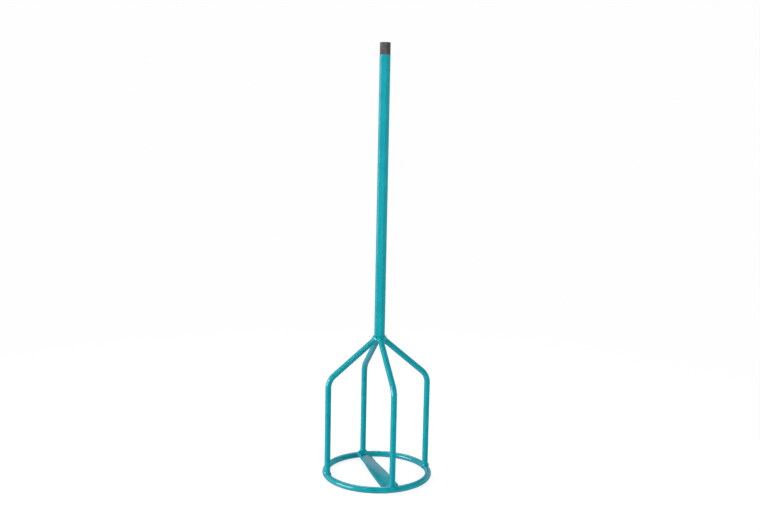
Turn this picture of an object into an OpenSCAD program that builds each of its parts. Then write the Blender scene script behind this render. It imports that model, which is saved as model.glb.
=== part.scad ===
// Mortar mixing paddle, a steel weldment that a drill turns.
// A hexagonal shaft carries a cage of four bent rods. The rods stand on a ring of
// round bar, and a pitched flat bar crosses the ring as the mixing blade.
// z = 0 is the underside of the ring, and the shaft runs up the Z axis. The front
// rod is on -Y, the right rod on +X, and the blade runs from front to back.

/* [Shaft] */
// Height of the paddle, from the underside of the ring to the top of the shaft
overall_height = 466.6; // [300:0.1:700]
// Width of the bare hexagon across its flats
across_flats = 10; // [8:0.5:13]
// Height of the shaft's lower end, where it sits on the rods
shaft_bottom = 154.5; // [154:0.1:156]
// Length at the top that is left without coating
bare_length = 12.6; // [5:0.1:60]
// Diameter of the circle to which the corners of the top end are rounded off
end_diameter = 10.7; // [9:0.1:11.2]
// Thickness of the coating on each flat
coating = 0.12; // [0.05:0.01:0.3]

/* [Cage] */
// Outer diameter of the ring
ring_diameter = 120; // [110:1:130]
// Diameter of the ring's round bar
ring_bar = 6.8; // [6:0.1:8]
// Diameter of the cage rods
rod_diameter = 6.4; // [5.5:0.1:7]
// Distance from the ring's centreline in to the rods' centrelines
rod_inset = 0.4; // [0:0.1:1]
// Depth to which a rod's foot is fused into the top of the ring
rod_seat = 0.4; // [0.2:0.1:0.5]
// Height at which the upright and the sloping centrelines of a rod would cross
elbow_height = 109.2; // [105:0.1:112]
// Slope of the upper legs, from the horizontal
rod_slope = 40; // [38:0.5:41]
// Centreline radius of the bend between the two legs
bend_radius = 17; // [10:1:40]

/* [Blade] */
// Width of the flat bar
blade_width = 16; // [12:0.5:17]
// Thickness of the flat bar
blade_thickness = 3; // [2:0.5:4]
// Length over the bar's ends, before they are cut to the ring
blade_length = 108; // [107:0.5:108.5]
// Height of the bar's middle above the ring's centreline
blade_rise = 0.8; // [0:0.1:1]
// Pitch of each end of the blade, in opposite senses
blade_pitch = 15.5; // [5:0.5:18]
// Length of the twisted middle
twist_length = 50; // [30:1:70]

/* [Welds] */
// Height of the hub welds on the shaft, above its lower end
hub_weld_rise = 2.8; // [2:0.1:5]
// Radius that the hub welds reach from the shaft's axis
hub_weld_reach = 9.2; // [8.5:0.1:12]
// Amount by which the hub welds swell
hub_weld_bulge = 1; // [0.8:0.1:1.5]
// Height of the foot welds above the top of the ring
foot_weld_rise = 3; // [1:0.1:4]
// Width of the foot welds beyond the rod's side
foot_weld_width = 1.7; // [1:0.1:1.8]
// Diameter of the beads along the ends of the blade
blade_bead = 4; // [3:0.1:5]
// Width of the weld that closes the ring
seam_width = 3; // [2:0.1:4]
// Height of that weld above the surface of the ring's bar
seam_height = 0.3; // [0.1:0.05:0.6]

/* [Hidden] */
$fn = 96;

// Directions of the four rods around the shaft
RIGHT = 0;
BACK = 90;
LEFT = 180;
FRONT = 270;

COAT = "#17a3ae";
COAT_DARK = "#12909b";

// Radius of the sphere that rounds off the corners of the top end, as a share of the width
end_sphere_ratio = 0.74;
ring_radius = (ring_diameter - ring_bar) / 2;
ring_centre = ring_bar / 2;
// The weld that closes the ring is just left of the front rod
seam_direction = 263;
seam_angle = 2 * atan(seam_width / 2 / ring_radius);

// A rod's centreline: upright leg, bend, then a leg that slopes up to the shaft
rod_radius = ring_radius - rod_inset;
bend_angle = 90 - rod_slope;
bend_start = elbow_height - bend_radius * tan(bend_angle / 2);
bend_end_x = rod_radius - bend_radius * (1 - cos(bend_angle));
bend_end_z = bend_start + bend_radius * sin(bend_angle);
foot_height = ring_bar - rod_seat;
// The sloping legs run past the shaft's axis, and are cut to a mitre there
mitre_allowance = rod_diameter;
slope_length = bend_end_x / sin(bend_angle) + mitre_allowance;
// A sloping leg starts inside the bend, and is thinner by a hair, so that they join
join_overlap = 0.4;
join_step = 0.04;
// Turn of a sloping leg about its own centreline, so that the line where its round
// surface closes misses the corners of the shaft
seam_turn = 60;
// Height at which the four sloping centrelines meet on the shaft's axis
hub_height = elbow_height + rod_radius * tan(rod_slope);
// Upper surface of a sloping leg, at a distance from the shaft's axis
function leg_top(radius) = hub_height - radius * tan(rod_slope) + rod_diameter / 2 / cos(rod_slope);

blade_height = ring_centre + blade_rise;
flat_length = (blade_length - twist_length) / 2;
twist_slices = 24;
// Height above the ring's centreline down to which the foot welds run
foot_weld_drop = 1;
// The beads across the blade's ends lie just inside the ring, and stop short of the
// blade's edges
bead_inset = 0.8;
bead_position = ring_radius - ring_bar / 2 - bead_inset;
bead_length = blade_width - 1.5;

function hex_circumscribed(flats) = flats / sqrt(3) * 2;

module hex_bar(flats, height) {
    cylinder(d = hex_circumscribed(flats), h = height, $fn = 6);
}

// The whole shaft with its two corners facing front and back
module shaft_solid() {
    reach = overall_height - shaft_bottom;
    // The corners of the top end lie on a sphere around a point on the axis
    sphere_radius = across_flats * end_sphere_ratio;
    sphere_depth = sqrt(pow(sphere_radius, 2) - pow(end_diameter / 2, 2));
    translate([0, 0, shaft_bottom])
        rotate([0, 0, 30])
            intersection() {
                union() {
                    hex_bar(across_flats, reach);
                    hex_bar(across_flats + 2 * coating, reach - bare_length);
                }
                union() {
                    cylinder(r = across_flats, h = reach - sphere_depth);
                    translate([0, 0, reach - sphere_depth])
                        sphere(r = sphere_radius);
                }
            }
}

module ring_torus(bar, angle) {
    rotate_extrude(angle = angle)
        translate([ring_radius, 0])
            circle(d = bar);
}

module full_ring() {
    translate([0, 0, ring_centre])
        ring_torus(ring_bar, 360);
}

// The space under the surface that the ring stands on
module floor_space() {
    translate([0, 0, -ring_bar / 2])
        cube([2 * ring_diameter, 2 * ring_diameter, ring_bar], center = true);
}

// Proud of the bar all round, but ground level with the underside of the ring
module seam_solid() {
    difference() {
        translate([0, 0, ring_centre])
            rotate([0, 0, seam_direction - seam_angle / 2])
                ring_torus(ring_bar + 2 * seam_height, seam_angle);
        floor_space();
    }
}

// A rod as bent, on the +X side, before its ends are cut
module bent_rod() {
    translate([rod_radius, 0, foot_height])
        cylinder(d = rod_diameter, h = bend_start - foot_height);
    translate([rod_radius - bend_radius, 0, bend_start])
        rotate([90, 0, 0])
            rotate_extrude(angle = bend_angle)
                translate([bend_radius, 0])
                    circle(d = rod_diameter);
    translate([bend_end_x, 0, bend_end_z])
        rotate([0, -bend_angle, 0])
            translate([0, 0, -join_overlap])
                rotate([0, 0, seam_turn])
                    cylinder(d = rod_diameter - join_step, h = slope_length + join_overlap);
}

// The quarter of space around +X, bounded by the planes halfway to the next rods
module quarter() {
    reach = ring_diameter;
    linear_extrude(height = overall_height)
        polygon([[0, 0], [reach, -reach], [reach, reach]]);
}

module drive_shaft() {
    color(COAT)
        shaft_solid();
}

module cage_rod(direction) {
    color(COAT)
        difference() {
            rotate([0, 0, direction])
                intersection() {
                    bent_rod();
                    quarter();
                }
            shaft_solid();
            full_ring();
        }
}

module bottom_ring() {
    color(COAT)
        translate([0, 0, ring_centre])
            rotate([0, 0, seam_direction + seam_angle / 2])
                ring_torus(ring_bar, 360 - seam_angle);
}

module ring_seam_weld() {
    color(COAT_DARK)
        seam_solid();
}

// Pitch of the blade at a distance y along it: flat ends and an even twist between
function pitch_at(y) = blade_pitch * max(-1, min(1, y / (twist_length / 2)));

// Corners of the blade's cross-section at y, about the middle of the blade
function blade_section(y) =
    let (angle = pitch_at(y))
    [
        for (corner = [[-1, -1], [1, -1], [1, 1], [-1, 1]])
            let (x = corner[0] * blade_width / 2)
            let (z = corner[1] * blade_thickness / 2)
            [x * cos(angle) + z * sin(angle), y, z * cos(angle) - x * sin(angle)]
    ];

module blade_bar() {
    stations = [
        -blade_length / 2,
        for (i = [0 : twist_slices]) twist_length * (i / twist_slices - 0.5),
        blade_length / 2
    ];
    last = len(stations) - 1;
    points = [for (y = stations) each blade_section(y)];
    sides = [
        for (i = [0 : last - 1], k = [0 : 3])
            let (a = 4 * i + k)
            let (b = 4 * i + (k + 1) % 4)
            each [[a, b, b + 4], [a, b + 4, a + 4]]
    ];
    ends = [
        [0, 3, 2], [0, 2, 1],
        [4 * last, 4 * last + 1, 4 * last + 2], [4 * last, 4 * last + 2, 4 * last + 3]
    ];
    polyhedron(points, concat(sides, ends));
}

module mixing_blade() {
    color(COAT)
        difference() {
            translate([0, 0, blade_height])
                blade_bar();
            full_ring();
            seam_solid();
        }
}

// A flat end of the blade: end = -1 at the front and 1 at the back
module blade_end(end) {
    translate([0, end * (twist_length + flat_length) / 2, blade_height])
        rotate([0, end * blade_pitch, 0])
            cube([blade_width, flat_length, blade_thickness], center = true);
}

// Profile of the hub welds: from inside the mitred rods, out under the crotches to the
// toe on the rods, and up over the rods' ends to the shaft
module hub_weld_profile() {
    top = shaft_bottom + hub_weld_rise;
    toe = leg_top(hub_weld_reach);
    root = hub_height - rod_diameter / 2;
    polygon([
        [0, root],
        [rod_diameter * 0.5, root - hub_weld_bulge * 0.5],
        [hub_weld_reach * 0.5, toe - hub_weld_bulge * 1.7],
        [hub_weld_reach * 0.8, toe - hub_weld_bulge * 2],
        [hub_weld_reach * 0.95, toe - hub_weld_bulge],
        [hub_weld_reach, toe],
        [hub_weld_reach * 0.85, toe + hub_weld_bulge * 1.7],
        [across_flats * 0.6, top - hub_weld_bulge * 0.4],
        [across_flats * 0.5, top],
        [0, top]
    ]);
}

// Fillet weld over a rod's upper end, filling the crotches on both sides of it
module hub_weld(direction) {
    color(COAT_DARK)
        difference() {
            rotate([0, 0, direction])
                difference() {
                    intersection() {
                        rotate_extrude()
                            hub_weld_profile();
                        quarter();
                    }
                    bent_rod();
                }
            shaft_solid();
        }
}

// Fillet weld around a rod's foot, saddled over the ring
module foot_weld_solid(direction) {
    inner = rod_diameter / 2;
    outer = inner + foot_weld_width;
    bottom = ring_centre + foot_weld_drop;
    top = ring_bar + foot_weld_rise;
    rotate([0, 0, direction])
        translate([rod_radius, 0, 0])
            rotate_extrude()
                polygon([
                    [0, bottom],
                    [outer - foot_weld_width * 0.5, bottom],
                    [outer, bottom + foot_weld_width * 0.6],
                    [outer - foot_weld_width * 0.1, bottom + foot_weld_width * 1.3],
                    [inner + foot_weld_width * 0.4, top - foot_weld_width * 0.7],
                    [inner, top],
                    [0, top]
                ]);
}

module foot_weld(direction) {
    color(COAT_DARK)
        difference() {
            foot_weld_solid(direction);
            rotate([0, 0, direction])
                bent_rod();
            full_ring();
            seam_solid();
            blade_end(-1);
            blade_end(1);
        }
}

// Bead across an end of the blade: end = -1 front, 1 back; side = -1 below, 1 above
module blade_weld(end, side) {
    color(COAT_DARK)
        difference() {
            translate([0, end * bead_position, blade_height])
                rotate([0, end * blade_pitch, 0])
                    translate([0, 0, side * blade_thickness / 2])
                        rotate([0, 90, 0])
                            cylinder(d = blade_bead, h = bead_length, center = true);
            blade_end(end);
            full_ring();
            seam_solid();
            foot_weld_solid(end < 0 ? FRONT : BACK);
            floor_space();
        }
}

drive_shaft();
cage_rod(FRONT);  // cage_rod_front
cage_rod(RIGHT);  // cage_rod_right
cage_rod(BACK);  // cage_rod_back
cage_rod(LEFT);  // cage_rod_left
bottom_ring();
mixing_blade();
hub_weld(FRONT);  // hub_weld_front
hub_weld(RIGHT);  // hub_weld_right
hub_weld(BACK);  // hub_weld_back
hub_weld(LEFT);  // hub_weld_left
foot_weld(FRONT);  // foot_weld_front
foot_weld(RIGHT);  // foot_weld_right
foot_weld(BACK);  // foot_weld_back
foot_weld(LEFT);  // foot_weld_left
blade_weld(-1, 1);  // blade_weld_front_upper
blade_weld(-1, -1);  // blade_weld_front_lower
blade_weld(1, 1);  // blade_weld_back_upper
blade_weld(1, -1);  // blade_weld_back_lower
ring_seam_weld();
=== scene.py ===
# Looks of the mortar mixing paddle: coated steel bars, their welds, a pale studio and a camera.
# Lengths are in metres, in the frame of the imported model: z = 0 is the underside of the ring,
# the shaft runs up the Z axis, the front rod is on -Y and the right rod on +X.
import math
import random

import bmesh
import bpy
from mathutils import Matrix, Vector, noise


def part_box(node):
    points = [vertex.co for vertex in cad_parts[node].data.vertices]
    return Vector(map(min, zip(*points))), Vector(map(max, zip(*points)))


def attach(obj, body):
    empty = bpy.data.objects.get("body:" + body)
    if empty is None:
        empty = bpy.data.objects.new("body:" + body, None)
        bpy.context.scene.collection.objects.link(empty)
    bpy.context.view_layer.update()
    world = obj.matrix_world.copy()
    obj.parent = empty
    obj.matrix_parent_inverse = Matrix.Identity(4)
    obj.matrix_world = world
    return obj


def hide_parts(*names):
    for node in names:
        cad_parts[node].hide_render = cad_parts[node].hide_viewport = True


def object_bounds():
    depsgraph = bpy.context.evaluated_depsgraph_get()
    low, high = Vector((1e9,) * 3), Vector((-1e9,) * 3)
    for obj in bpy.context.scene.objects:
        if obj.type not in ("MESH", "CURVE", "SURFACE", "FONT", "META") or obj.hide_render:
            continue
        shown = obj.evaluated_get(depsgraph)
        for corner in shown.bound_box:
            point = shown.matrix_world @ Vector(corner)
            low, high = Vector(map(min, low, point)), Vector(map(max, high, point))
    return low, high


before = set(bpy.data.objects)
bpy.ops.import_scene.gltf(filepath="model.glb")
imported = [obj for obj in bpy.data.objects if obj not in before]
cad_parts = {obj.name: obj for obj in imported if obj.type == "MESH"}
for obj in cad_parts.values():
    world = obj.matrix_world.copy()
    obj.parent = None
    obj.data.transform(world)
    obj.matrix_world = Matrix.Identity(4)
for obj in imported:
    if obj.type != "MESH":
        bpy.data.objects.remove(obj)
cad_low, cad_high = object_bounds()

MM = 0.001
BODY = "root"
DIRECTIONS = {"front": -90.0, "right": 0.0, "back": 90.0, "left": 180.0}

# Sizes that the frame gives
ring_low, ring_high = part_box("bottom_ring")
shaft_low, shaft_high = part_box("drive_shaft")
rod_low, rod_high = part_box("cage_rod_right")
RING_BAR = ring_high.z - ring_low.z
RING_RADIUS = (ring_high.x - ring_low.x - RING_BAR) / 2
RING_CENTRE = Vector((0, 0, RING_BAR / 2))
ROD_BAR = rod_high.y - rod_low.y
ROD_RADIUS = rod_high.x - ROD_BAR / 2
ROD_FOOT = rod_low.z
SHAFT_BOTTOM = shaft_low.z
SHAFT_TOP = shaft_high.z
COATED_FLATS = shaft_high.x - shaft_low.x

# Sizes of the shaft that its box doesn't give
COATING = 0.12 * MM
BARE_FLATS = COATED_FLATS - 2 * COATING
BARE_LENGTH = 12.6 * MM
END_DIAMETER = 10.7 * MM
END_SPHERE = 0.74 * BARE_FLATS
END_BREAK = 0.12 * MM
COATED_CORNER = 0.42 * MM
BARE_CORNER = 0.3 * MM
# The coating's edge at the bare end: how far it wanders, and how long its rounded lip is
EDGE_WANDER = 0.22 * MM
EDGE_LIP = 0.35 * MM

# The bends of the cage rods
ELBOW_HEIGHT = 109.2 * MM
BEND_RADIUS = 17 * MM
ROD_SLOPE = math.radians(40)
BEND_ANGLE = math.pi / 2 - ROD_SLOPE
BEND_FLATTENING = 0.03
HUB_HEIGHT = ELBOW_HEIGHT + ROD_RADIUS * math.tan(ROD_SLOPE)

# The blade: a flat bar whose ends are pitched in opposite senses
BLADE_WIDTH = 16 * MM
BLADE_THICKNESS = 3 * MM
BLADE_LENGTH = 108 * MM
BLADE_HEIGHT = RING_BAR / 2 + 0.8 * MM
BLADE_PITCH = math.radians(15.5)
BLADE_TWIST_LENGTH = 50 * MM
BLADE_CORNER = 0.5 * MM

# The weld that closes the ring
SEAM_DIRECTION = math.radians(263)
SEAM_WIDTH = 3 * MM

# How far the bars' surfaces depart from true, and over what length
BAR_WAVE = 0.025 * MM
BAR_WAVE_LENGTH = 14 * MM
BAR_SIDES = 56

# Edges that turn by more than this stay sharp
SHARP_ANGLE = math.radians(38)

# Voxels and smoothing of the weld beads, and the seed of their small differences
BEAD_VOXEL = 0.22 * MM
BEAD_SMOOTHING = 5
SMOOTHING_FACTOR = 0.6
WELD_SEED = 7

# Hub welds: drops in each row, the rows' distances from the axis, how far they bow outwards at
# the middle, and half their width
HUB_DROPS = 15
HUB_NEAR_ROW = 5.2 * MM
HUB_FAR_ROW = 6.5 * MM
HUB_BOW = 0.5 * MM
HUB_HALF_WIDTH = 3.8 * MM
HUB_SMOOTHING = 18

# The other welds: drops in each, and their smoothing
FOOT_DROPS = 26
FOOT_SMOOTHING = 14
BLADE_WELD_DROPS = 20
BLADE_WELD_SMOOTHING = 10
SEAM_DROPS = 22

# Camera, fitted to the outlines of the object in the photograph
CAMERA_DISTANCE = 1.0126
CAMERA_HEIGHT = 0.3794
CAMERA_AZIMUTH = math.radians(17.04)
CAMERA_PAN = math.radians(-0.051)
CAMERA_TILT = math.radians(8.26)
CAMERA_ROLL = math.radians(1.148)
CAMERA_LENS = 45.25


# ---------------------------------------------------------------- materials

def add_node(tree, kind, values=None, links=None, **settings):
    """Adds a shader node; values are by socket name or number, and links come from other outputs."""
    node = tree.nodes.new(kind)
    for key, value in settings.items():
        setattr(node, key, value)
    for socket, value in (values or {}).items():
        node.inputs[socket].default_value = value
    for socket, source in (links or {}).items():
        tree.links.new(source, node.inputs[socket])
    return node


def new_material(name):
    material = bpy.data.materials.new(name)
    material.use_nodes = True
    tree = material.node_tree
    return material, tree, tree.nodes["Principled BSDF"]


def object_point(tree, scale=(1, 1, 1)):
    """The surface point in the model's own frame, stretched by scale."""
    coordinates = add_node(tree, "ShaderNodeTexCoord")
    mapping = add_node(tree, "ShaderNodeMapping", values={"Scale": scale},
                       links={"Vector": coordinates.outputs["Object"]})
    return mapping.outputs["Vector"]


def noise_at(tree, point, size, detail=2.0, roughness=0.5):
    """Noise whose features are about as long as size."""
    texture = add_node(tree, "ShaderNodeTexNoise", links={"Vector": point},
                       values={"Scale": 1 / size, "Detail": detail, "Roughness": roughness})
    return texture.outputs[0]


def remapped(tree, value, low, high, low_from=0.3, high_from=0.7):
    ranged = add_node(tree, "ShaderNodeMapRange", links={"Value": value},
                      values={"From Min": low_from, "From Max": high_from,
                              "To Min": low, "To Max": high})
    return ranged.outputs["Result"]


def add_value(tree, number):
    node = add_node(tree, "ShaderNodeValue")
    node.outputs[0].default_value = number
    return node.outputs[0]


def colours_between(tree, value, stops):
    """A colour ramp through stops, which are (position, colour) pairs."""
    ramp = add_node(tree, "ShaderNodeValToRGB", links={"Fac": value})
    elements = ramp.color_ramp.elements
    while len(elements) < len(stops):
        elements.new(0.5)
    for element, (position, colour) in zip(elements, stops):
        element.position = position
        element.color = (*colour, 1)
    return ramp.outputs["Color"]


def stacked_bumps(tree, layers):
    """Bump layers, each a height and its depth in metres, one on top of the other."""
    normal = None
    for height, depth in layers:
        links = {"Height": height}
        if normal is not None:
            links["Normal"] = normal
        bump = add_node(tree, "ShaderNodeBump", values={"Distance": depth}, links=links)
        normal = bump.outputs["Normal"]
    return normal


TEAL = (0.003, 0.30, 0.336)
TEAL_DEEP = (0.002, 0.278, 0.312)
TEAL_LIGHT = (0.005, 0.316, 0.353)
STEEL_DARK = (0.056, 0.045, 0.041)
STEEL = (0.088, 0.075, 0.070)
STEEL_LIGHT = (0.125, 0.112, 0.107)
# Lengths of the coating's features: its colour drift, orange peel, flow and haze
DRIFT_SIZE = 11 * MM
PEEL_SIZE = 1.5 * MM
FLOW_SIZE = 6 * MM
HAZE_SIZE = 3 * MM
# Those of the bare steel, and how deep its lines and mottling are
LINE_SIZE = 0.35 * MM
MOTTLE_SIZE = 2.2 * MM
STEEL_RELIEF = 0.02 * MM


def powder_coat(name, peel_depth, flow_depth, roughness):
    """Glossy baked coating: orange peel, a slow flow over the steel and faint colour drift."""
    material, tree, shader = new_material(name)
    point = object_point(tree)
    drift = noise_at(tree, point, DRIFT_SIZE, detail=3)
    peel = noise_at(tree, point, PEEL_SIZE, detail=1)
    flow = noise_at(tree, point, FLOW_SIZE, detail=1)
    haze = noise_at(tree, point, HAZE_SIZE, detail=4, roughness=0.6)
    colour = colours_between(tree, drift, [(0.3, TEAL_DEEP), (0.5, TEAL), (0.72, TEAL_LIGHT)])
    normal = stacked_bumps(tree, [(flow, flow_depth), (peel, peel_depth)])
    tree.links.new(colour, shader.inputs["Base Color"])
    tree.links.new(remapped(tree, haze, roughness - 0.03, roughness + 0.05),
                   shader.inputs["Roughness"])
    tree.links.new(normal, shader.inputs["Normal"])
    shader.inputs["IOR"].default_value = 1.5
    return material


def bare_steel(name):
    """Drawn steel with a thin dark oxide: fine lines along the bar and brownish mottling."""
    material, tree, shader = new_material(name)
    along = object_point(tree, scale=(1, 1, 0.04))
    lines = noise_at(tree, along, LINE_SIZE, detail=3, roughness=0.7)
    mottle = noise_at(tree, object_point(tree), MOTTLE_SIZE, detail=5, roughness=0.65)
    colour = colours_between(tree, mottle, [(0.3, STEEL_DARK), (0.5, STEEL), (0.7, STEEL_LIGHT)])
    tree.links.new(colour, shader.inputs["Base Color"])
    tree.links.new(remapped(tree, mottle, 0.62, 0.46), shader.inputs["Roughness"])
    normal = stacked_bumps(tree, [(mottle, STEEL_RELIEF), (lines, STEEL_RELIEF)])
    tree.links.new(normal, shader.inputs["Normal"])
    shader.inputs["Metallic"].default_value = 0.35
    return material


# ---------------------------------------------------------------- mesh tools

def waver(point):
    """Small departure from true of a bar's surface at a point."""
    return BAR_WAVE * noise.noise(point / BAR_WAVE_LENGTH)


def finish_piece(name, mesh, material_list, node):
    """Makes the object, gives it its materials and puts it in the place of its CAD node."""
    for material in material_list:
        mesh.materials.append(material)
    mesh.shade_smooth()
    mesh.set_sharp_from_angle(angle=SHARP_ANGLE)
    piece = bpy.data.objects.new(name, mesh)
    bpy.context.scene.collection.objects.link(piece)
    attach(piece, BODY)
    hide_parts(node)
    return piece


def skin(rings):
    """A closed bmesh: a skin through rings of points, with a face over each end."""
    built = bmesh.new()
    rows = [[built.verts.new(point) for point in ring] for ring in rings]
    count = len(rings[0])
    for row, following in zip(rows, rows[1:]):
        for k in range(count):
            j = (k + 1) % count
            built.faces.new((row[k], row[j], following[j], following[k]))
    built.faces.new(list(reversed(rows[0])))
    built.faces.new(rows[-1])
    return built


def mesh_of(built, name):
    bmesh.ops.recalc_face_normals(built, faces=built.faces)
    mesh = bpy.data.meshes.new(name)
    built.to_mesh(mesh)
    built.free()
    return mesh


def steps(start, end, spacing):
    """Even values from start to end, no further apart than spacing."""
    count = max(1, math.ceil(abs(end - start) / spacing))
    return [start + (end - start) * i / count for i in range(count + 1)]


# ---------------------------------------------------------------- shaft

def hexagon_radius(angle, flats, corner):
    """Distance from the axis to a hexagon with rounded corners; its flats face +X and -X."""
    folded = abs((angle + math.pi / 6) % (math.pi / 3) - math.pi / 6)
    flat = flats / 2 / math.cos(folded)
    centre = (flats / 2 - corner) / math.cos(math.pi / 6)
    to_corner = math.pi / 6 - folded
    inside = corner ** 2 - (centre * math.sin(to_corner)) ** 2
    if inside <= 0:
        return flat
    rounded = centre * math.cos(to_corner) + math.sqrt(inside)
    return min(flat, rounded)


def shaft_angles():
    """Angles around the shaft, closer together at the six corners."""
    offsets = [0, 9, 18, 24, 26.4, 27.3, 27.8, 28.3, 28.8, 29.4]
    half = [math.radians(a) for a in offsets]
    one_side = [-a for a in reversed(half[1:])] + half + [math.radians(30)]
    return [math.radians(60 * side) + a for side in range(6) for a in one_side]


def shaft_rings():
    """Rings from the lower end to the top face, and the number of rings that are coated."""
    angles = shaft_angles()
    paint_edge = SHAFT_TOP - BARE_LENGTH
    coated = [hexagon_radius(a, COATED_FLATS, COATED_CORNER) for a in angles]
    bare = [hexagon_radius(a, BARE_FLATS, BARE_CORNER) for a in angles]
    edge = [paint_edge + EDGE_WANDER * noise.noise(Vector((math.cos(a), math.sin(a), 0.3)) * 2.4)
            for a in angles]

    def ring(radii, heights):
        points = [Vector((r * math.cos(a), r * math.sin(a), z))
                  for a, r, z in zip(angles, radii, heights)]
        return [p + Vector((p.x, p.y, 0)).normalized() * waver(p) for p in points]

    rings = [ring(coated, [z] * len(angles))
             for z in steps(SHAFT_BOTTOM, paint_edge - 3 * EDGE_LIP, 4 * MM)]
    for part in (0.0, 0.35, 0.7, 1.0):
        lift = math.sqrt(1 - part ** 2)
        radii = [b + (c - b) * lift for b, c in zip(bare, coated)]
        rings.append(ring(radii, [z - EDGE_LIP * (1 - part) for z in edge]))
    coated_count = len(rings)
    sphere_height = SHAFT_TOP - math.sqrt(END_SPHERE ** 2 - (END_DIAMETER / 2) ** 2)
    top = [min(r - END_BREAK, END_DIAMETER / 2) for r in bare]
    shoulder = [min(SHAFT_TOP - END_BREAK, sphere_height + math.sqrt(END_SPHERE ** 2 - r ** 2))
                for r in bare]
    for part in (0.04, 0.3, 0.65, 0.97, 1.0):
        rings.append(ring(bare, [e + (s - e) * part for e, s in zip(edge, shoulder)]))
    for part in (0.5, 1.0):
        radii = [r + (t - r) * part for r, t in zip(bare, top)]
        rings.append(ring(radii, [s + (SHAFT_TOP - s) * part for s in shoulder]))
    for scale in (0.97, 0.8, 0.5, 0.2):
        rings.append(ring([t * scale for t in top], [SHAFT_TOP] * len(angles)))
    return rings, coated_count


def build_shaft(coat, steel):
    rings, coated_count = shaft_rings()
    built = skin(rings)
    bare_from = coated_count - 1
    sides = len(rings[0])
    for index, face in enumerate(built.faces):
        face.material_index = 1 if index // sides >= bare_from else 0
    built.faces.ensure_lookup_table()
    # The last two faces close the ends, and the first of them, at the bottom, is coated
    built.faces[-2].material_index = 0
    mesh = mesh_of(built, "shaft")
    return finish_piece("shaft", mesh, [coat, steel], "drive_shaft")


# ---------------------------------------------------------------- round bars

def bar_ring(centre, outward, across, radius, flattening=0.0):
    """A ring of points around a round bar; outward and across span its section."""
    points = []
    for k in range(BAR_SIDES):
        turn = 2 * math.pi * k / BAR_SIDES
        point = (centre + outward * (radius * (1 - flattening) * math.cos(turn))
                 + across * (radius * (1 + flattening) * math.sin(turn)))
        points.append(point + (point - centre).normalized() * waver(point))
    return points


def rod_path():
    """Centreline of a rod in the X-Z plane: points, the lean from upright, and the flattening."""
    bend_start = ELBOW_HEIGHT - BEND_RADIUS * math.tan(BEND_ANGLE / 2)
    path = [(ROD_RADIUS, z, 0.0, 0.0) for z in steps(ROD_FOOT, bend_start, 2.5 * MM)]
    for lean in steps(0.0, BEND_ANGLE, math.radians(2.5))[1:]:
        x = ROD_RADIUS - BEND_RADIUS * (1 - math.cos(lean))
        z = bend_start + BEND_RADIUS * math.sin(lean)
        path.append((x, z, lean, BEND_FLATTENING * math.sin(math.pi * lean / BEND_ANGLE)))
    end_x, end_z = path[-1][:2]
    past_axis = ROD_BAR
    reach = end_x / math.sin(BEND_ANGLE) + past_axis
    for s in steps(0.0, reach, 2.5 * MM)[1:]:
        path.append((end_x - s * math.sin(BEND_ANGLE), end_z + s * math.cos(BEND_ANGLE),
                     BEND_ANGLE, 0.0))
    return path


def cut_mitre(built):
    """Keeps the quarter of space around +X, and closes the two cuts."""
    for side in (-1, 1):
        whole = list(built.verts) + list(built.edges) + list(built.faces)
        bmesh.ops.bisect_plane(built, geom=whole, plane_co=(0, 0, 0),
                               plane_no=(-1, side, 0), clear_outer=True)
        open_edges = [edge for edge in built.edges if edge.is_boundary]
        bmesh.ops.holes_fill(built, edges=open_edges, sides=0)


def build_rod(side, coat):
    turn = Matrix.Rotation(math.radians(DIRECTIONS[side]), 4, "Z")
    across = Vector((0, 1, 0))
    rings = []
    for x, z, lean, flattening in rod_path():
        outward = Vector((math.cos(lean), 0, math.sin(lean)))
        rings.append(bar_ring(Vector((x, 0, z)), outward, across, ROD_BAR / 2, flattening))
    built = skin(rings)
    cut_mitre(built)
    bmesh.ops.transform(built, matrix=turn, verts=built.verts)
    mesh = mesh_of(built, "rod_" + side)
    return finish_piece("rod_" + side, mesh, [coat], "cage_rod_" + side)


def build_ring(coat):
    """The bar bent into a ring, whose two ends meet under the weld that closes it."""
    gap = SEAM_WIDTH * 0.2 / RING_RADIUS
    first = SEAM_DIRECTION + gap
    last = SEAM_DIRECTION + 2 * math.pi - gap
    rings = []
    for angle in steps(first, last, math.radians(1.5)):
        outward = Vector((math.cos(angle), math.sin(angle), 0))
        centre = RING_CENTRE + outward * RING_RADIUS
        rings.append(bar_ring(centre, outward, Vector((0, 0, 1)), RING_BAR / 2))
    mesh = mesh_of(skin(rings), "ring")
    for vertex in mesh.vertices:
        vertex.co.z = max(vertex.co.z, 0.0)
    return finish_piece("ring", mesh, [coat], "bottom_ring")


# ---------------------------------------------------------------- blade

def blade_pitch(y):
    """Pitch at y: a full pitch at each end, and an even twist along the middle stretch."""
    part = max(-1.0, min(1.0, y / (BLADE_TWIST_LENGTH / 2)))
    return BLADE_PITCH * part


def blade_outline():
    """Section of the flat bar, with rounded corners, as (x, z) points."""
    outline = []
    inner_x = BLADE_WIDTH / 2 - BLADE_CORNER
    inner_z = BLADE_THICKNESS / 2 - BLADE_CORNER
    across = [-1, -0.8, -0.55, -0.28, 0, 0.28, 0.55, 0.8, 1]
    for start, sx, sz in ((0, 1, 1), (90, -1, 1), (180, -1, -1), (270, 1, -1)):
        for turn in range(start, start + 91, 15):
            a = math.radians(turn)
            outline.append((sx * inner_x + BLADE_CORNER * math.cos(a),
                            sz * inner_z + BLADE_CORNER * math.sin(a)))
        if start == 0:
            outline += [(-part * inner_x, BLADE_THICKNESS / 2) for part in across[1:-1]]
        if start == 180:
            outline += [(part * inner_x, -BLADE_THICKNESS / 2) for part in across[1:-1]]
    return outline


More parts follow.
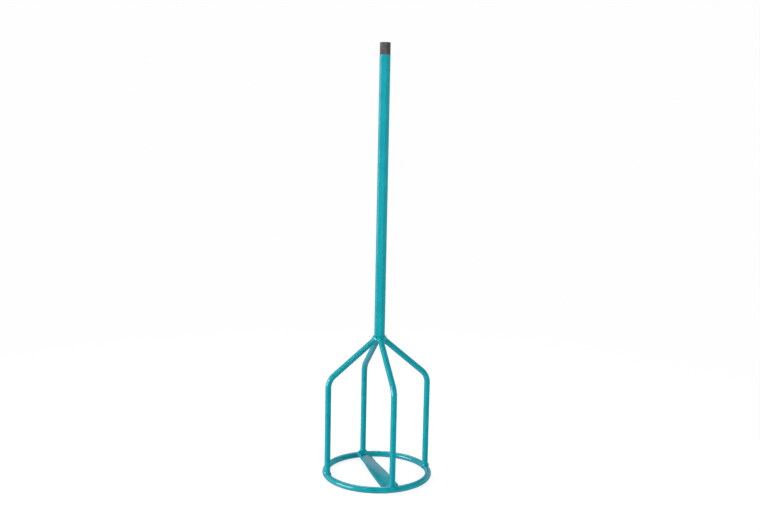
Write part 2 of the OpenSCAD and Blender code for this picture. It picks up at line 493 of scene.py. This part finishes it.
def build_blade(coat):
    outline = blade_outline()
    rings = []
    for y in steps(-BLADE_LENGTH / 2, BLADE_LENGTH / 2, 1.5 * MM):
        angle = blade_pitch(y)
        ring = []
        for x, z in outline:
            point = Vector((x * math.cos(angle) + z * math.sin(angle), y,
                            BLADE_HEIGHT + z * math.cos(angle) - x * math.sin(angle)))
            ring.append(point + Vector((0, 0, waver(point))))
        rings.append(ring)
    mesh = mesh_of(skin(rings), "blade")
    return finish_piece("blade", mesh, [coat], "mixing_blade")


# ---------------------------------------------------------------- welds

def lump(centre, radii, turn=None):
    """One drop of a bead: an ellipsoid of those half-lengths, turned by a matrix."""
    matrix = Matrix.Translation(centre)
    if turn is not None:
        matrix = matrix @ turn
    return matrix @ Matrix.Diagonal((*radii, 1))


def bead_mesh(name, lumps, floor=None, smoothing=BEAD_SMOOTHING):
    """Melts the lumps into one closed skin and softens it, as the coating does."""
    built = bmesh.new()
    for matrix in lumps:
        bmesh.ops.create_icosphere(built, subdivisions=3, radius=1, matrix=matrix)
    rough = bpy.data.meshes.new(name + "_rough")
    built.to_mesh(rough)
    built.free()
    holder = bpy.data.objects.new(name + "_rough", rough)
    bpy.context.scene.collection.objects.link(holder)
    melt = holder.modifiers.new("melt", "REMESH")
    melt.mode = "VOXEL"
    melt.voxel_size = BEAD_VOXEL
    soften = holder.modifiers.new("soften", "SMOOTH")
    soften.iterations = smoothing
    soften.factor = SMOOTHING_FACTOR
    evaluated = holder.evaluated_get(bpy.context.evaluated_depsgraph_get())
    mesh = bpy.data.meshes.new_from_object(evaluated)
    mesh.name = name
    bpy.data.objects.remove(holder)
    bpy.data.meshes.remove(rough)
    if floor is not None:
        for vertex in mesh.vertices:
            vertex.co.z = max(vertex.co.z, floor)
    return mesh


def rod_top(radius, across):
    """Height of a sloping leg's upper surface, at a distance from the axis and across the rod."""
    inside = max(0.0, (ROD_BAR / 2) ** 2 - across ** 2)
    return HUB_HEIGHT - radius * math.tan(ROD_SLOPE) + math.sqrt(inside) / math.cos(ROD_SLOPE)


def build_hub_weld(side, coat, rng):
    """A fillet over a rod's upper end, from the crotch on one side of it to the other."""
    turn = Matrix.Rotation(math.radians(DIRECTIONS[side]), 4, "Z")
    lean = Matrix.Rotation(ROD_SLOPE, 4, "Y")
    lumps = []
    for k in range(HUB_DROPS):
        part = 2 * k / (HUB_DROPS - 1) - 1
        across = HUB_HALF_WIDTH * part
        size = rng.uniform(0.95, 1.05)
        near = HUB_NEAR_ROW + HUB_BOW * (1 - part ** 2)
        z = rod_top(near, across * 0.75) - 0.15 * MM
        lumps.append(lump(Vector((near, across, z)),
                          Vector((1.7, 1.4, 1.35)) * (size * MM), lean))
        far = HUB_FAR_ROW + HUB_BOW * (1 - part ** 2)
        z = rod_top(far, across * 0.7) - 0.65 * MM
        lumps.append(lump(Vector((far, across * 0.7, z)),
                          Vector((1.9, 1.3, 1.05)) * (size * MM), lean))
    # A larger drop fills the crotch on each side of the rod
    for hand in (-1, 1):
        lumps.append(lump(Vector((4.3 * MM, hand * 4.1 * MM, HUB_HEIGHT - 3.6 * MM)),
                          Vector((2.2, 2.2, 2.8)) * MM))
    mesh = bead_mesh("hub_bead_" + side, [turn @ matrix for matrix in lumps],
                     smoothing=HUB_SMOOTHING)
    return finish_piece("hub_bead_" + side, mesh, [coat], "hub_weld_" + side)


def foot_height_at(turn):
    """Height at which a rod's side meets the ring's bar, at a turn around the rod from outward."""
    offset = ROD_BAR / 2 * math.cos(turn) + ROD_RADIUS - RING_RADIUS
    inside = max(0.0, (RING_BAR / 2) ** 2 - offset ** 2)
    return RING_BAR / 2 + math.sqrt(inside)


def build_foot_weld(side, coat, rng):
    """A bead around a rod's foot, saddled over the ring."""
    turn = Matrix.Rotation(math.radians(DIRECTIONS[side]), 4, "Z")
    lumps = []
    for k in range(FOOT_DROPS):
        angle = 2 * math.pi * (k + 0.4 * rng.random()) / FOOT_DROPS
        size = rng.uniform(0.95, 1.05) + 0.1 * math.sin(3 * angle + 2)
        reach = ROD_BAR / 2 + 0.2 * MM
        centre = Vector((ROD_RADIUS + reach * math.cos(angle), reach * math.sin(angle),
                         foot_height_at(angle) + 0.5 * MM))
        lumps.append(lump(centre, Vector((1.35, 1.35, 1.8)) * (size * MM)))
    mesh = bead_mesh("foot_bead_" + side, [turn @ matrix for matrix in lumps],
                     smoothing=FOOT_SMOOTHING)
    return finish_piece("foot_bead_" + side, mesh, [coat], "foot_weld_" + side)


def build_blade_weld(end, level, coat, rng):
    """A bead across an end of the blade, on its upper or its lower face."""
    end_sign = {"front": -1, "back": 1}[end]
    level_sign = {"upper": 1, "lower": -1}[level]
    pitch = Matrix.Rotation(end_sign * BLADE_PITCH, 4, "Y")
    y = end_sign * (RING_RADIUS - RING_BAR / 2 - 0.8 * MM)
    place = Matrix.Translation((0, y, BLADE_HEIGHT)) @ pitch
    lumps = []
    half = BLADE_WIDTH / 2 - 1.2 * MM
    for k in range(BLADE_WELD_DROPS):
        x = half * (2 * k / (BLADE_WELD_DROPS - 1) - 1)
        size = rng.uniform(0.95, 1.05)
        centre = Vector((x, end_sign * 0.35 * MM, level_sign * (BLADE_THICKNESS / 2 - 0.2 * MM)))
        lumps.append(place @ lump(centre, Vector((1.25, 1.9, 1.6)) * (size * MM)))
    name = f"blade_bead_{end}_{level}"
    mesh = bead_mesh(name, lumps, floor=0.0, smoothing=BLADE_WELD_SMOOTHING)
    return finish_piece(name, mesh, [coat], f"blade_weld_{end}_{level}")


def build_seam_weld(coat, rng):
    """The bead around the bar where its two ends meet, ground flush with the ring's underside."""
    outward = Vector((math.cos(SEAM_DIRECTION), math.sin(SEAM_DIRECTION), 0))
    along = Vector((-outward.y, outward.x, 0))
    basis = Matrix((outward, along, Vector((0, 0, 1)))).transposed().to_4x4()
    place = Matrix.Translation(RING_CENTRE + outward * RING_RADIUS) @ basis
    lumps = []
    for k in range(SEAM_DROPS):
        turn = 2 * math.pi * k / SEAM_DROPS
        size = rng.uniform(0.93, 1.07)
        reach = RING_BAR / 2 - 0.75 * MM
        centre = Vector((reach * math.cos(turn), rng.uniform(-0.1, 0.1) * MM, reach * math.sin(turn)))
        lumps.append(place @ lump(centre, Vector((1.05, SEAM_WIDTH / 2 / MM, 1.05)) * (size * MM)))
    core = Vector((2.9, 1.0, 2.9)) * MM
    lumps.append(place @ lump(Vector((0, 0, 0)), core))
    mesh = bead_mesh("seam_bead", lumps, floor=0.0)
    return finish_piece("seam_bead", mesh, [coat], "ring_seam_weld")


# ---------------------------------------------------------------- studio

BACKDROP = (0.99, 0.99, 0.99)
FLOOR_SHADE = 0.32
# A hair under the object, so that the two surfaces don't coincide
FLOOR_LEVEL = -0.02 * MM
FLOOR_GLOW = 0.8
FLOOR_HALF_WIDTH = 6.0
# Distances from the object at which the floor starts and ends its fade into the backdrop
FADE_START, FADE_END = 0.1, 0.8
# Light that the object's surfaces see: the room, the backdrop, the left side and below the floor
ROOM_LIGHT = 0.03
BACKDROP_LIGHT = 0.78
ROOM_TINT = (0.76, 0.78, 1.0)
LEFT_LIGHT = 0.7
FLOOR_LIGHT = 0.3
PAPER_LIGHT = 0.75


def look_direction():
    heading = CAMERA_AZIMUTH + CAMERA_PAN
    return Vector((math.sin(heading), math.cos(heading), 0))


def left_direction():
    look = look_direction()
    return Vector((-look.y, look.x, 0))


def studio_floor():
    """A pale floor that takes a faint shadow and fades into the backdrop, so that no horizon shows."""
    half = FLOOR_HALF_WIDTH
    mesh = bpy.data.meshes.new("floor")
    mesh.from_pydata([(-half, -half, FLOOR_LEVEL), (half, -half, FLOOR_LEVEL),
                      (half, half, FLOOR_LEVEL), (-half, half, FLOOR_LEVEL)],
                     [], [(0, 1, 2, 3)])
    floor = bpy.data.objects.new("floor", mesh)
    bpy.context.scene.collection.objects.link(floor)
    floor.visible_glossy = False
    floor.visible_diffuse = False
    material, tree, shader = new_material("floor_paper")
    tree.nodes.remove(shader)
    coordinates = add_node(tree, "ShaderNodeTexCoord")
    distance = add_node(tree, "ShaderNodeVectorMath", operation="LENGTH",
                        links={0: coordinates.outputs["Object"]})
    fade = remapped(tree, distance.outputs["Value"], 0.0, 1.0,
                    low_from=FADE_START, high_from=FADE_END)
    paper = add_node(tree, "ShaderNodeBsdfDiffuse", values={"Color": (*[FLOOR_SHADE] * 3, 1)})
    lit = add_node(tree, "ShaderNodeEmission", values={"Color": (*[FLOOR_GLOW] * 3, 1)})
    near = add_node(tree, "ShaderNodeAddShader", links={0: paper.outputs[0], 1: lit.outputs[0]})
    far = add_node(tree, "ShaderNodeEmission", values={"Color": (*BACKDROP, 1)})
    mix = add_node(tree, "ShaderNodeMixShader", links={
        0: fade, 1: near.outputs[0], 2: far.outputs[0]})
    tree.links.new(mix.outputs[0], tree.nodes["Material Output"].inputs["Surface"])
    mesh.materials.append(material)


def studio_world():
    """A bright backdrop and left side and a dim room behind the camera, for the reflections."""
    world = bpy.data.worlds.new("studio")
    bpy.context.scene.world = world
    world.use_nodes = True
    tree = world.node_tree
    tree.nodes.clear()
    coordinates = add_node(tree, "ShaderNodeTexCoord")
    way = coordinates.outputs["Generated"]

    def lobe(direction, light, low_from, high_from):
        facing = add_node(tree, "ShaderNodeVectorMath", operation="DOT_PRODUCT",
                          values={1: direction}, links={0: way})
        return remapped(tree, facing.outputs["Value"], 0.0, light, low_from, high_from)

    def combined(operation, first, second):
        node = add_node(tree, "ShaderNodeMath", operation=operation, links={0: first, 1: second})
        return node.outputs[0]

    split = add_node(tree, "ShaderNodeSeparateXYZ", links={0: way})
    above = remapped(tree, split.outputs["Z"], FLOOR_LIGHT, 1.0, low_from=-0.35, high_from=0.05)
    under_top = remapped(tree, split.outputs["Z"], 1.0, 0.12, low_from=0.425, high_from=0.46)
    backdrop = combined("MULTIPLY", lobe(look_direction(), BACKDROP_LIGHT, -0.25, 0.45), under_top)
    behind = combined("MULTIPLY", backdrop, above)
    leftward = lobe(left_direction(), LEFT_LIGHT, 0.3, 0.8)
    paper_below = remapped(tree, split.outputs["Z"], PAPER_LIGHT, 0.0,
                           low_from=-0.75, high_from=-0.4)
    sides = combined("MAXIMUM", behind, leftward)
    light = combined("ADD", combined("MAXIMUM", sides, paper_below), add_value(tree, ROOM_LIGHT))
    room = add_node(tree, "ShaderNodeBackground",
                    values={"Color": (*ROOM_TINT, 1)}, links={"Strength": light})
    paper = add_node(tree, "ShaderNodeBackground", values={"Color": (*BACKDROP, 1)})
    ray = add_node(tree, "ShaderNodeLightPath")
    mix = add_node(tree, "ShaderNodeMixShader", links={
        0: ray.outputs["Is Camera Ray"], 1: room.outputs[0], 2: paper.outputs[0]})
    add_node(tree, "ShaderNodeOutputWorld", links={"Surface": mix.outputs[0]})


def softbox(name, azimuth, elevation, distance, size, power, target):
    """A rectangular lamp; azimuth is to the right of the camera's side, in degrees."""
    back = -look_direction()
    side = -left_direction()
    a, e = math.radians(azimuth), math.radians(elevation)
    way = (back * math.cos(a) + side * math.sin(a)) * math.cos(e) + Vector((0, 0, math.sin(e)))
    data = bpy.data.lights.new(name, "AREA")
    data.shape = "RECTANGLE"
    data.size, data.size_y = size
    data.energy = power
    lamp = bpy.data.objects.new(name, data)
    bpy.context.scene.collection.objects.link(lamp)
    lamp.location = target + way * distance
    lamp.rotation_mode = "QUATERNION"
    lamp.rotation_quaternion = (-way).to_track_quat("-Z", "Y")
    lamp.visible_camera = False
    return lamp


def studio_lights():
    middle = (cad_low + cad_high) / 2
    softbox("left_box", -70, 6, 1.5, (1.1, 0.7), 24, middle)
    right = softbox("right_box", 22, 7, 1.5, (0.9, 0.7), 14.5, middle)
    far = softbox("far_box", 68, 0, 1.5, (0.5, 0.5), 7, middle)
    # The sloping legs would glitter with the first, and the blade, seen from behind, would mirror
    # the second as a white patch
    right.visible_glossy = False
    far.visible_glossy = False
    softbox("high_box", -35, 46, 1.3, (0.24, 0.24), 0.9, middle)
    softbox("back_box", 180, 48, 1.5, (0.9, 0.9), 10, middle)


def studio_camera():
    data = bpy.data.cameras.new("camera")
    data.lens = CAMERA_LENS
    data.clip_start, data.clip_end = 0.02, 40
    camera = bpy.data.objects.new("camera", data)
    bpy.context.scene.collection.objects.link(camera)
    place = Vector((-math.sin(CAMERA_AZIMUTH), -math.cos(CAMERA_AZIMUTH), 0)) * CAMERA_DISTANCE
    place.z = CAMERA_HEIGHT
    heading = Matrix.Rotation(-(CAMERA_AZIMUTH + CAMERA_PAN), 4, "Z")
    tilt = Matrix.Rotation(math.pi / 2 - CAMERA_TILT, 4, "X")
    roll = Matrix.Rotation(CAMERA_ROLL, 4, "Z")
    camera.matrix_world = Matrix.Translation(place) @ heading @ tilt @ roll
    bpy.context.scene.camera = camera


# ---------------------------------------------------------------- the whole scene

def build_paddle():
    rng = random.Random(WELD_SEED)
    shaft_coat = powder_coat("shaft_coat", 0.003 * MM, 0.01 * MM, 0.14)
    cage_coat = powder_coat("cage_coat", 0.003 * MM, 0.012 * MM, 0.14)
    blade_coat = powder_coat("blade_coat", 0.004 * MM, 0.02 * MM, 0.14)
    weld_coat = powder_coat("weld_coat", 0.004 * MM, 0.02 * MM, 0.17)
    build_shaft(shaft_coat, bare_steel("bare_steel"))
    build_ring(cage_coat)
    build_blade(blade_coat)
    for side in DIRECTIONS:
        build_rod(side, cage_coat)
        build_hub_weld(side, weld_coat, rng)
        build_foot_weld(side, weld_coat, rng)
    for end in ("front", "back"):
        for level in ("upper", "lower"):
            build_blade_weld(end, level, weld_coat, rng)
    build_seam_weld(weld_coat, rng)


studio_camera()
build_paddle()
studio_floor()
studio_world()
studio_lights()
bpy.context.scene.view_settings.view_transform = "Standard"
